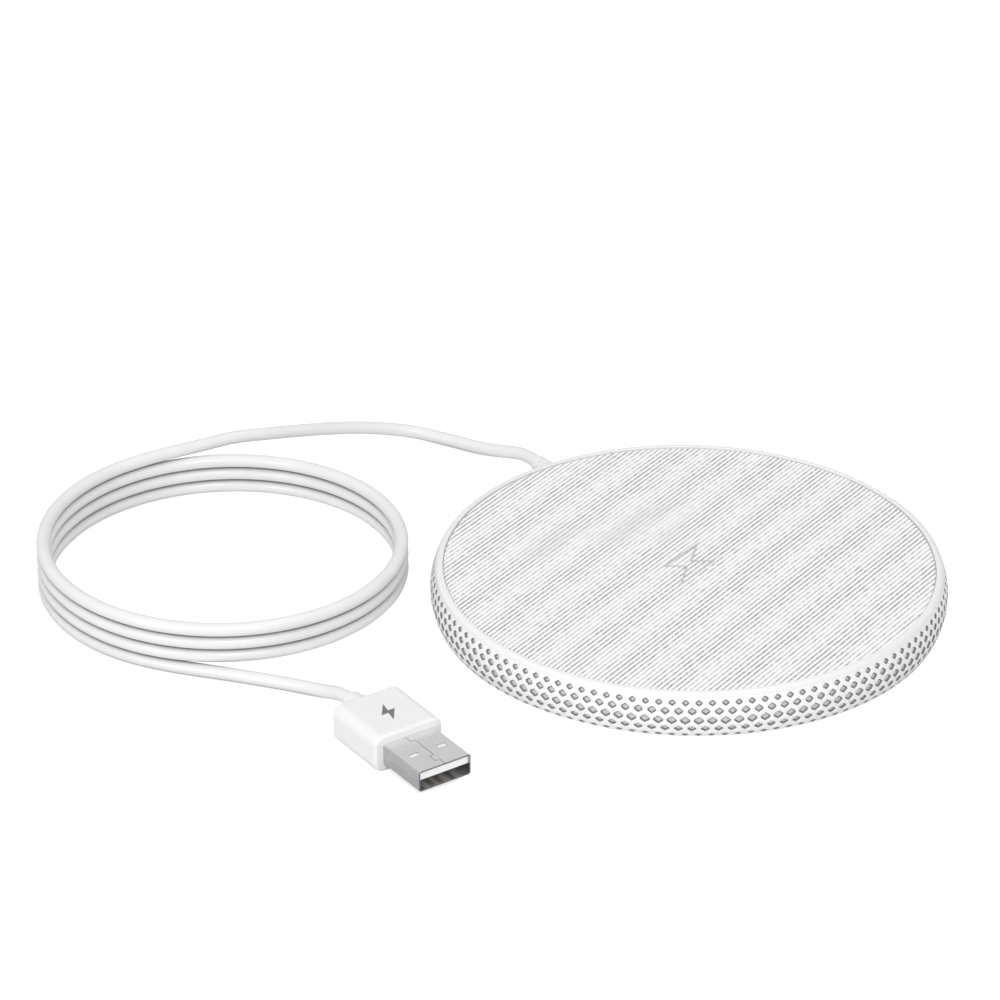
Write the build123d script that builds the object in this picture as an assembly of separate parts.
from build123d import *
from math import cos, pi, radians, sin, sqrt, tan
import os

# A round wireless charging pad with a captive USB lead.
# Frame: origin at the centre of the pad's underside, +Z up, millimetres.
# The lead lies on the same surface as the pad, coiled at the pad's left (-X).

# ---- Pad outline --------------------------------------------------------------
PAD_R = 53.0            # widest radius, part way up the side
WAIST_Z = 4.6           # height of the widest radius
SIDE_R = 10.0           # radius of the side's bulge, seen in section
BASE_Z = 0.1            # underside of the housing; the foot ring reaches 0
FLOOR_TOP = 1.5
BAND_T = 0.5            # thickness of the band round the side
BAND_TOP = 8.8
WALL_TOP = 8.2          # top of the bottom housing's wall
WALL_IN = 50.1          # inner radius of that wall
SKIRT_IN = 48.9         # the upper cover's skirt fits inside the wall
SKIRT_BOTTOM = 6.8
LIP_IN, LIP_OUT, LIP_TOP = 50.45, 51.2, 9.75
PLATE_BOTTOM = 8.0      # underside of the upper cover's plate
PLATE_TOP = 9.0
FABRIC_R = 50.25
FABRIC_T = 0.4
FILM_T = 0.1            # adhesive film, under the fabric and over the charging coil

# ---- Foot, label, screws and bosses -------------------------------------------------
FOOT_IN, FOOT_OUT, FOOT_TOP = 41.0, 46.0, 0.8
LABEL_R, LABEL_TOP = 18.0, 0.2   # the label lies in a shallow recess
SCREW_RING, SCREW_ANGLES = 43.5, (70, 160, 250, 340)
SCREW_R, SCREW_HEAD_R = 0.85, 1.7
SCREW_HEAD_TOP, SCREW_TOP = 1.7, 6.5
POST_R, POST_BOTTOM = 2.4, 2.5
BOARD_RING, BOARD_ANGLES = 35.0, (45, 135, 225, 315)
BOARD_SCREW_R, BOARD_HEAD_R, BOARD_HEAD_T = 0.8, 1.6, 1.0
BOSS_R = 2.3
RECESS_W, RECESS_L, RECESS_T = 0.5, 2.2, 0.45   # cross recess in every screw head

# ---- Circuit board and charging coil ---------------------------------------------------
BOARD_R, BOARD_BOTTOM, BOARD_TOP = 38.5, 2.7, 3.7
CHIP_SIZE, CHIP_T = 7.0, 0.8
PAD_SIZE = 12.0
SPREADER_R, SPREADER_T = 27.5, 0.4
FERRITE_R, FERRITE_T = 26.5, 1.2
WIRE_D = 1.2            # litz wire of the charging coil
COIL_IN, COIL_TURNS, COIL_PITCH = 10.6, 10, 1.3
COIL_LEAD_D = 1.1
SLOT_X = 8.0            # the inner coil end leaves in a slot of the ferrite
SLOT_W = 1.7
SENSOR_R, SENSOR_T, SENSOR_WIRE_D = 1.5, 1.0, 0.4
COIL_TOP = PLATE_BOTTOM - FILM_T
COIL_Z = COIL_TOP - WIRE_D / 2
FERRITE_TOP = COIL_TOP - WIRE_D
SPREADER_TOP = FERRITE_TOP - FERRITE_T
SPREADER_BOTTOM = SPREADER_TOP - SPREADER_T
SLOT_Z = (FERRITE_TOP + SPREADER_TOP) / 2

# ---- Lead ---------------------------------------------------------------------------------
CORD_D = 2.8
EXIT_ANGLE, EXIT_Z = 120.0, 4.3     # where the lead leaves the pad, at its rear left
NECK_R = 2.2            # the strain relief where it passes through the wall
FLANGE_R = 2.75
RELIEF_START, RELIEF_END = 46.9, 61.0   # its two ends, from the pad's axis
INNER_WIRE_D = 0.9
COIL_CENTRE = (-95.85, 9.25)
COIL_R = 36.9           # radius of the coil's turns, at the cord's centre
STACK_PITCH = 2.95      # rise from one turn to the next
TOP_ANGLE = 119.2       # where the top turn leaves towards the pad
LOW_ANGLE = 252.7       # where the lowest turn leaves towards the plug
WHOLE_TURNS = 3         # besides the part turn between those two angles
STUB = 15.0             # straight length that leaves the coil at each end
TURNS = WHOLE_TURNS + (LOW_ANGLE - TOP_ANGLE) / 360
STACK_TOP = CORD_D / 2 + STACK_PITCH * TURNS    # centre of the cord at the top turn

# ---- USB-A plug -------------------------------------------------------------------------------
SHELL_W, SHELL_H, SHELL_T, SHELL_L = 12.0, 4.5, 0.3, 12.4
SHELL_BURIED = 4.0      # length of the shell inside the plug's body
BODY_W, BODY_H, BODY_L = 15.8, 8.0, 15.5
WINDOW_X, WINDOW_Y, WINDOW_L, WINDOW_W = -5.9, 3.2, 1.1, 2.1
SEAM_W, SEAM_DEPTH = 0.14, 0.15     # the shell's edges meet in a stepped line along its top
SEAM_ROUTE = (
    (-SHELL_L, -1.05), (-10.4, -1.05), (-10.4, 0), (-3.8, 0), (-3.8, -1.0), (-1.8, -1.0), (-1.8, 0),
    (0, 0),
)
TONGUE_W, TONGUE_T, TONGUE_BLOCK = 11.3, 1.9, 10.5
CONTACT_W, CONTACT_T = 1.0, 0.15
PLUG_HEADING = -55.3    # direction in which the plug is pushed in
PLUG_FRONT = (-49.3, -71.8)
PLUG_RELIEF_L, PLUG_RELIEF_R0, PLUG_RELIEF_R1 = 4.95, 2.8, 2.0


# ---- Helpers --------------------------------------------------------------------------------
def side_radius(z, inset=0.0):
    """Radius at height z of the pad's bulging side, or of a surface inside it."""
    return PAD_R - SIDE_R + sqrt((SIDE_R - inset) ** 2 - (z - WAIST_Z) ** 2)


def side_arc(z0, z1, inset=0.0):
    """The side's section between two heights, as one arc."""
    heights = (z0, (z0 + z1) / 2, z1)
    return ThreePointArc(*[(side_radius(z, inset), z) for z in heights])


def turned(*edges):
    """A solid of revolution about Z, from a closed section in radius and height."""
    return revolve(Plane.XZ * make_face(list(edges)), Axis.Z)


def disc(radius, z0, z1, at=(0, 0)):
    return Pos(at[0], at[1], z0) * extrude(Circle(radius), z1 - z0)


def ring(inner, outer, z0, z1):
    return Pos(0, 0, z0) * extrude(Circle(outer) - Circle(inner), z1 - z0)


def block(length, width, z0, z1, at=(0, 0), turn=0.0):
    return Pos(at[0], at[1], z0) * Rot(0, 0, turn) * extrude(Rectangle(length, width), z1 - z0)


def around(radius, angle):
    """The point on a circle about the pad's axis."""
    return radius * cos(radians(angle)), radius * sin(radians(angle))


def facing_out(radius, angle, z):
    """A plane that looks outward from the pad's axis, with its Y direction upright."""
    x, y = around(1, angle)
    return Plane(origin=(radius * x, radius * y, z), x_dir=(-y, x, 0), z_dir=(x, y, 0))


def group(parts):
    """Several separate solids as one node."""
    return Compound(children=[solid for part in parts for solid in part.solids()])


def screw(at, head_r, head_z, shank_r, shank_z):
    """A flat-headed screw with a cross recess in its outer face, the first of head_z."""
    top, under = head_z
    deep = top + RECESS_T if under > top else top - RECESS_T
    low, high = min(top, deep), max(top, deep)
    recess = block(RECESS_L, RECESS_W, low, high, at) + block(RECESS_W, RECESS_L, low, high, at)
    head = disc(head_r, min(top, under), max(top, under), at) - recess
    return head + disc(shank_r, *shank_z, at)


def tube(points, diameter, radii=None):
    """A round tube along straight runs joined by tangent arcs."""
    path = FilletPolyline(*points, radius=radii or corner_radii(points))
    section = Plane(origin=path @ 0, z_dir=path % 0) * Circle(diameter / 2)
    return sweep(section, path=path), path


def corner_radii(points):
    """The largest tangent arc for each corner: 0.45 of its shorter run."""
    places = [Vector(*p) for p in points]
    radii = []
    for before, corner, after in zip(places, places[1:], places[2:]):
        run_in = corner - before
        run_out = after - corner
        half_turn = radians(run_in.get_angle(run_out)) / 2
        radii.append(0.45 * min(run_in.length, run_out.length) / tan(half_turn))
    return radii


# ---- Casing -----------------------------------------------------------------------------------
def exit_hole():
    return facing_out(WALL_IN - 4, EXIT_ANGLE, EXIT_Z) * extrude(Circle(NECK_R), 12)


def bottom_housing():
    tray = turned(
        Polyline(
            (side_radius(WALL_TOP, BAND_T), WALL_TOP), (WALL_IN, WALL_TOP), (WALL_IN, FLOOR_TOP),
            (0, FLOOR_TOP), (0, LABEL_TOP), (LABEL_R + 0.1, LABEL_TOP), (LABEL_R + 0.1, BASE_Z),
            (FOOT_IN, BASE_Z), (FOOT_IN, FOOT_TOP), (FOOT_OUT, FOOT_TOP), (FOOT_OUT, BASE_Z),
            (side_radius(BASE_Z, BAND_T), BASE_Z),
        ),
        side_arc(BASE_Z, WALL_TOP, BAND_T),
    )
    for angle in BOARD_ANGLES:
        at = around(BOARD_RING, angle)
        tray += disc(BOSS_R, FLOOR_TOP, BOARD_BOTTOM, at)
        tray -= disc(BOARD_SCREW_R, FLOOR_TOP - 0.3, BOARD_BOTTOM, at)
    for angle in SCREW_ANGLES:
        at = around(SCREW_RING, angle)
        tray += disc(SCREW_HEAD_R + 1.3, FLOOR_TOP, POST_BOTTOM, at)
        tray -= disc(SCREW_HEAD_R + 0.1, BASE_Z, SCREW_HEAD_TOP, at)
        tray -= disc(SCREW_R + 0.15, SCREW_HEAD_TOP, POST_BOTTOM, at)
    return tray - exit_hole()


def upper_cover():
    rim_foot = side_radius(BAND_TOP)
    cover = turned(
        Polyline(
            (LIP_OUT, LIP_TOP - 0.03), (LIP_IN + 0.1, LIP_TOP), (LIP_IN, LIP_TOP - 0.1),
            (LIP_IN, PLATE_TOP), (0, PLATE_TOP), (0, PLATE_BOTTOM), (SKIRT_IN, PLATE_BOTTOM),
            (SKIRT_IN, SKIRT_BOTTOM), (WALL_IN, SKIRT_BOTTOM), (WALL_IN, WALL_TOP),
            (side_radius(WALL_TOP, BAND_T), WALL_TOP),
        ),
        side_arc(WALL_TOP, BAND_TOP, BAND_T),
        Line((side_radius(BAND_TOP, BAND_T), BAND_TOP), (rim_foot, BAND_TOP)),
        ThreePointArc((rim_foot, BAND_TOP), (51.78, 9.38), (LIP_OUT, LIP_TOP - 0.03)),
    )
    cover -= facing_out(SKIRT_IN - 1, EXIT_ANGLE, SKIRT_BOTTOM) * extrude(Rectangle(8, 1.2), 2.2)
    for angle in SCREW_ANGLES:
        at = around(SCREW_RING, angle)
        cover += disc(POST_R, POST_BOTTOM, PLATE_BOTTOM, at)
        cover -= disc(SCREW_R, POST_BOTTOM, SCREW_TOP, at)
    return cover


def side_band():
    """The thin moulded skin round the side, in one piece; its shallow pits are surface detail."""
    band = turned(
        side_arc(BASE_Z, BAND_TOP),
        Line((side_radius(BAND_TOP), BAND_TOP), (side_radius(BAND_TOP, BAND_T), BAND_TOP)),
        side_arc(BASE_Z, BAND_TOP, BAND_T),
        Line((side_radius(BASE_Z, BAND_T), BASE_Z), (side_radius(BASE_Z), BASE_Z)),
    )
    return band - exit_hole()


def fabric_cover():
    return disc(FABRIC_R, PLATE_TOP + FILM_T, PLATE_TOP + FILM_T + FABRIC_T)


def fabric_adhesive():
    return disc(FABRIC_R - 0.5, PLATE_TOP, PLATE_TOP + FILM_T)


def foot_ring():
    return ring(FOOT_IN, FOOT_OUT, 0, FOOT_TOP)


def base_label():
    return disc(LABEL_R, BASE_Z, LABEL_TOP)


def housing_screws():
    head = (FOOT_TOP, SCREW_HEAD_TOP)
    shank = (SCREW_HEAD_TOP, SCREW_TOP)
    return group([screw(around(SCREW_RING, a), SCREW_HEAD_R, head, SCREW_R, shank) for a in SCREW_ANGLES])


# ---- Charging coil and what lies under it ----------------------------------------------------
def coil_adhesive():
    return ring(9.0, 25.0, COIL_TOP, PLATE_BOTTOM)


def transmit_coil():
    """A flat spiral of half circles, whose centres alternate by half a pitch."""
    coil = None
    for k in range(2 * COIL_TURNS):
        lower = k % 2
        centre = (lower * COIL_PITCH / 2, 0, COIL_Z)
        arc = CenterArc(centre, COIL_IN + k * COIL_PITCH / 2, 180 * lower, 180)
        section = Plane(origin=arc @ 0, z_dir=arc % 0) * Circle(WIRE_D / 2)
        half_turn = sweep(section, path=arc)
        coil = half_turn if coil is None else coil + half_turn
    return coil


def coil_leads():
    """Both ends of the coil: the inner one runs out under the turns, the outer one beside them."""
    outer = COIL_IN + COIL_TURNS * COIL_PITCH
    inner_route = [
        (COIL_IN, 0, COIL_Z), (COIL_IN, -1.9, COIL_Z), (SLOT_X, -5.4, SLOT_Z),
        (SLOT_X, -31.0, SLOT_Z), (SLOT_X, -31.0, BOARD_TOP),
    ]
    outer_route = [
        (outer, 0, COIL_Z), (outer, 3.0, COIL_Z), (29.6, 8.5, COIL_Z), (29.6, 8.5, BOARD_TOP),
    ]
    return group([
        tube(inner_route, COIL_LEAD_D, [1.2, 1.8, 1.0])[0],
        tube(outer_route, COIL_LEAD_D, [2.0, 1.0])[0],
    ])


def ferrite_disc():
    disc_body = disc(FERRITE_R, SPREADER_TOP, FERRITE_TOP)
    run = block(SLOT_W, FERRITE_R - 4, SPREADER_TOP, FERRITE_TOP, (SLOT_X, -4 - (FERRITE_R - 4) / 2))
    entry = block(4.6, 6.0, SPREADER_TOP, FERRITE_TOP, (SLOT_X + 1.4, -4.0))
    sensor_run = block(SENSOR_WIRE_D * 4, FERRITE_R, SPREADER_TOP, FERRITE_TOP, (0, 3.0 + FERRITE_R / 2))
    return disc_body - run - entry - sensor_run


def heat_spreader():
    return disc(SPREADER_R, SPREADER_BOTTOM, SPREADER_TOP)


def thermistor():
    bead = disc(SENSOR_R, FERRITE_TOP, FERRITE_TOP + SENSOR_T)
    bead = fillet(bead.edges().filter_by(GeomType.CIRCLE).sort_by(Axis.Z)[-1], 0.4)
    return bead


def thermistor_wires():
    wires = []
    z = FERRITE_TOP + SENSOR_WIRE_D
    for x in (-SENSOR_WIRE_D, SENSOR_WIRE_D):
        start = (x, sqrt(SENSOR_R ** 2 - x ** 2) + 0.15, z)
        route = [start, (x, 3.4, z), (x, 6.0, SLOT_Z), (x, 31.0, SLOT_Z), (x, 31.0, BOARD_TOP)]
        wires.append(tube(route, SENSOR_WIRE_D, [1.0, 1.0, 1.0])[0])
    return group(wires)


# ---- Circuit board -----------------------------------------------------------------------------
def main_pcb():
    board = disc(BOARD_R, BOARD_BOTTOM, BOARD_TOP)
    for angle in BOARD_ANGLES:
        board -= disc(BOARD_SCREW_R + 0.3, BOARD_BOTTOM, BOARD_TOP, around(BOARD_RING, angle))
    return board


def board_screws():
    head = (BOARD_TOP + BOARD_HEAD_T, BOARD_TOP)
    shank = (FLOOR_TOP - 0.3, BOARD_TOP)
    return group(
        [screw(around(BOARD_RING, a), BOARD_HEAD_R, head, BOARD_SCREW_R, shank) for a in BOARD_ANGLES]
    )


def on_board(length, width, height, at, turn=0.0):
    return block(length, width, BOARD_TOP, BOARD_TOP + height, at, turn)


def controller_chip():
    return on_board(CHIP_SIZE, CHIP_SIZE, CHIP_T, (0, 0))


def thermal_pad():
    return block(PAD_SIZE, PAD_SIZE, BOARD_TOP + CHIP_T, SPREADER_BOTTOM)


def bridge_transistors():
    return group([on_board(3.3, 3.3, 0.9, (x, y)) for x in (11.5, 16.5) for y in (-3.0, 3.0)])


def resonant_capacitors():
    angles = (238, 248, 258, 268)
    return group([on_board(3.2, 2.5, 2.0, around(32.5, a), a) for a in angles])


def input_capacitors():
    return group([on_board(3.2, 1.6, 1.6, around(32.0, a), a) for a in (106, 112)])


def power_inductor():
    at = around(33.0, 195)
    core = on_board(7.0, 7.0, 3.0, at, 195)
    core = fillet(core.edges().filter_by(Axis.Z), 1.2)
    return core


def small_passives():
    """Resistors and small capacitors, in two rows beside the chip and an arc round it."""
    pieces = [on_board(1.6, 0.8, 0.7, (x, y)) for x in (-16, -13, -10) for y in (-4.5, -1.5, 1.5, 4.5)]
    pieces += [on_board(1.6, 0.8, 0.7, around(22, a), a) for a in range(0, 360, 20)]
    return group(pieces)


# ---- Where the lead enters the pad ----------------------------------------------------------------
def cable_strain_relief():
    """Flange inside the wall, neck through it, collar and ribbed taper outside."""
    outline = [
        (RELIEF_START, 0), (RELIEF_START, NECK_R), (48.4, NECK_R), (48.4, FLANGE_R),
        (49.9, FLANGE_R), (49.9, NECK_R), (53.05, NECK_R), (53.05, 2.9), (53.85, 2.9),
    ]
    taper = [(53.85, 2.5), (RELIEF_END, 1.8)]
    for groove in (55.2, 56.9, 58.6):
        share = (groove - taper[0][0]) / (taper[1][0] - taper[0][0])
        radius = taper[0][1] + share * (taper[1][1] - taper[0][1])
        outline += [(groove - 0.35, radius + 0.03), (groove - 0.3, radius - 0.4)]
        outline += [(groove + 0.3, radius - 0.45), (groove + 0.35, radius - 0.03)]
    outline.insert(9, taper[0])
    outline += [taper[1], (RELIEF_END, 0)]
    profile = make_face(Polyline(*outline, close=True))
    relief = revolve(profile, Axis.X)
    return Pos(0, 0, EXIT_Z) * Rot(0, 0, EXIT_ANGLE) * relief


def lead_wires():
    """The cable's four inner wires, from the strain relief to the edge of the board."""
    wires = []
    rest_z = BOARD_TOP + INNER_WIRE_D / 2
    offsets = ((-0.5, 0.5, -2.4), (0.5, 0.5, 2.4), (-0.5, -0.5, -0.8), (0.5, -0.5, 0.8))
    for side, up, spread in offsets:
        route = [
            (RELIEF_START, side, EXIT_Z + up), (45.2, side, EXIT_Z + up),
            (41.0, spread, rest_z), (36.8, spread, rest_z),
        ]
        wires.append(tube(route, INNER_WIRE_D, [1.0, 1.0])[0])
    return Rot(0, 0, EXIT_ANGLE) * group(wires)


# ---- Plug, in its own frame: X forward from the shell's mouth, Z up -----------------------------------
PLUG_PLACE = Pos(PLUG_FRONT[0], PLUG_FRONT[1], BODY_H / 2) * Rot(0, 0, PLUG_HEADING)
BODY_FRONT = -SHELL_L
BODY_BACK = BODY_FRONT - BODY_L
SHELL_BACK = BODY_FRONT - SHELL_BURIED


def shell_envelope():
    outer = Pos((SHELL_BACK / 2, 0, 0)) * Box(-SHELL_BACK, SHELL_W, SHELL_H)
    return fillet(outer.edges().filter_by(Axis.X), 0.5)


def plug_shell():
    inner = Pos((SHELL_BACK / 2, 0, 0)) * Box(-SHELL_BACK, SHELL_W - 2 * SHELL_T, SHELL_H - 2 * SHELL_T)
    shell = shell_envelope() - inner
    for y in (-WINDOW_Y, WINDOW_Y):
        shell -= Pos(WINDOW_X, y, 0) * Box(WINDOW_L, WINDOW_W, SHELL_H + 1)
    for (x0, y0), (x1, y1) in zip(SEAM_ROUTE, SEAM_ROUTE[1:]):
        groove = Box(abs(x1 - x0) + SEAM_W, abs(y1 - y0) + SEAM_W, 2 * SEAM_DEPTH)
        shell -= Pos((x0 + x1) / 2, (y0 + y1) / 2, SHELL_H / 2) * groove
    return PLUG_PLACE * shell


def plug_tongue():
    roof = SHELL_H / 2 - SHELL_T
    blade_l = -SHELL_BACK - 0.5
    block_l = -SHELL_BACK - TONGUE_BLOCK
    blade = Pos(SHELL_BACK + blade_l / 2, 0, roof - TONGUE_T / 2) * Box(blade_l, TONGUE_W, TONGUE_T)
    back = Pos(SHELL_BACK + block_l / 2, 0, 0) * Box(block_l, TONGUE_W, 2 * roof)
    return PLUG_PLACE * (blade + back)


def plug_contacts():
    """Four strips under the tongue; the outer two reach further forward."""
    under = SHELL_H / 2 - SHELL_T - TONGUE_T
    strips = []
    for y, tip in ((-3.5, -1.3), (-1.0, -2.3), (1.0, -2.3), (3.5, -1.3)):
        length = tip + TONGUE_BLOCK - 0.5
        place = Pos(tip - length / 2, y, under - CONTACT_T / 2)
        strips.append(place * Box(length, CONTACT_W, CONTACT_T))
    return PLUG_PLACE * group(strips)


def plug_body():
    body = Pos(BODY_FRONT - BODY_L / 2, 0, 0) * Box(BODY_L, BODY_W, BODY_H)
    body = fillet(body.edges().filter_by(Axis.X), 2.2)
    body = fillet(body.faces().sort_by(Axis.X)[-1].edges(), 0.7)
    body = fillet(body.faces().sort_by(Axis.X)[0].edges(), 1.0)
    return PLUG_PLACE * (body - shell_envelope())


def plug_strain_relief():
    """A short taper from the plug's back to the cord."""
    outline = Polyline(
        (BODY_BACK, 0), (BODY_BACK, PLUG_RELIEF_R0), (BODY_BACK - 0.6, PLUG_RELIEF_R0),
        (BODY_BACK - PLUG_RELIEF_L, PLUG_RELIEF_R1), (BODY_BACK - PLUG_RELIEF_L, 0), close=True,
    )
    return PLUG_PLACE * revolve(make_face(outline), Axis.X)


# ---- Free cord -------------------------------------------------------------------------------------
def coil_point(angle, along=0.0):
    """A point on the coil's circle, moved along the circle's tangent."""
    x = COIL_CENTRE[0] + COIL_R * cos(radians(angle)) - along * sin(radians(angle))
    y = COIL_CENTRE[1] + COIL_R * sin(radians(angle)) + along * cos(radians(angle))
    return x, y


def strand(start, stop):
    """A straight length of cord between two points."""
    line = Line(start, stop)
    return sweep(Plane(origin=line @ 0, z_dir=line % 0) * Circle(CORD_D / 2), path=line)


def behind_plug(distance):
    """A point on the plug's axis, this far behind the mouth of its shell."""
    x = PLUG_FRONT[0] - distance * cos(radians(PLUG_HEADING))
    y = PLUG_FRONT[1] - distance * sin(radians(PLUG_HEADING))
    return x, y, BODY_H / 2


FLOOR_Z = CORD_D / 2    # the cord's centre where it lies on the table
PLUG_LENGTH = PLUG_RELIEF_L - BODY_BACK

# Each tail starts and ends straight, in line with what it leaves.
PAD_TAIL = [
    (*around(RELIEF_END, EXIT_ANGLE), EXIT_Z),
    (*around(RELIEF_END + 5.2, EXIT_ANGLE), EXIT_Z),
    (-37.9, 60.8, 2.9),
    (-43.0, 64.5, 1.8),
    (-50.0, 69.0, 1.5),
    (-58.2, 71.0, 2.6),
    (-66.9, 68.7, 4.6),
    (-75.0, 64.1, 6.9),
    (-82.4, 59.1, 8.9),
    (-89.3, 54.5, 10.6),
    (*coil_point(TOP_ANGLE, -STUB - 6), STACK_TOP),
    (*coil_point(TOP_ANGLE, -STUB), STACK_TOP),
]
PLUG_TAIL = [
    (*coil_point(LOW_ANGLE, STUB), FLOOR_Z),
    (*coil_point(LOW_ANGLE, STUB + 5.8), FLOOR_Z),
    (-81.1, -34.1, 1.4),
    (-77.1, -35.7, 1.5),
    (-73.2, -38.5, 2.3),
    behind_plug(PLUG_LENGTH + 3.2),
    behind_plug(PLUG_LENGTH),
]


def cord_coil():
    """The outer shape of the coil, with the straight length that leaves it at each end."""
    half = CORD_D / 2
    x, y = COIL_CENTRE
    wound = Pos(x, y, 0) * ring(COIL_R - half, COIL_R + half, 0, STACK_TOP + half)
    wound += strand((*coil_point(TOP_ANGLE), STACK_TOP), PAD_TAIL[-1])
    wound += strand((*coil_point(LOW_ANGLE), FLOOR_Z), PLUG_TAIL[0])
    return wound


def checked_tube(name, points):
    """A cord's tube, with its bends and its volume against section times length."""
    solid, path = tube(points, CORD_D)
    expected = pi * (CORD_D / 2) ** 2 * path.length
    radii = [round(radius, 1) for radius in corner_radii(points)]
    print(f"{name}: length {path.length:.1f}, volume ratio {solid.volume / expected:.4f}, radii {radii}")
    return solid


def main():
    os.makedirs("parts", exist_ok=True)
    nodes = {
        "fabric_cover": fabric_cover(),
        "fabric_adhesive": fabric_adhesive(),
        "upper_cover": upper_cover(),
        "side_band": side_band(),
        "bottom_housing": bottom_housing(),
        "foot_ring": foot_ring(),
        "base_label": base_label(),
        "housing_screws": housing_screws(),
        "coil_adhesive": coil_adhesive(),
        "transmit_coil": transmit_coil(),
        "coil_leads": coil_leads(),
        "ferrite_disc": ferrite_disc(),
        "heat_spreader": heat_spreader(),
        "thermistor": thermistor(),
        "thermistor_wires": thermistor_wires(),
        "thermal_pad": thermal_pad(),
        "main_pcb": main_pcb(),
        "board_screws": board_screws(),
        "controller_chip": controller_chip(),
        "bridge_transistors": bridge_transistors(),
        "resonant_capacitors": resonant_capacitors(),
        "input_capacitors": input_capacitors(),
        "power_inductor": power_inductor(),
        "small_passives": small_passives(),
        "lead_wires": lead_wires(),
        "cable_strain_relief": cable_strain_relief(),
        "cord_pad_tail": checked_tube("pad tail", PAD_TAIL),
        "cord_coil": cord_coil(),
        "cord_plug_tail": checked_tube("plug tail", PLUG_TAIL),
        "plug_strain_relief": plug_strain_relief(),
        "plug_body": plug_body(),
        "plug_shell": plug_shell(),
        "plug_tongue": plug_tongue(),
        "plug_contacts": plug_contacts(),
    }
    for name, shape in nodes.items():
        export_step(shape, f"parts/{name}.step")
    wound_length = 2 * pi * COIL_R * TURNS + 2 * STUB
    print(f"coil: {TURNS:.3f} turns, {wound_length:.1f} of cord in it")


main()
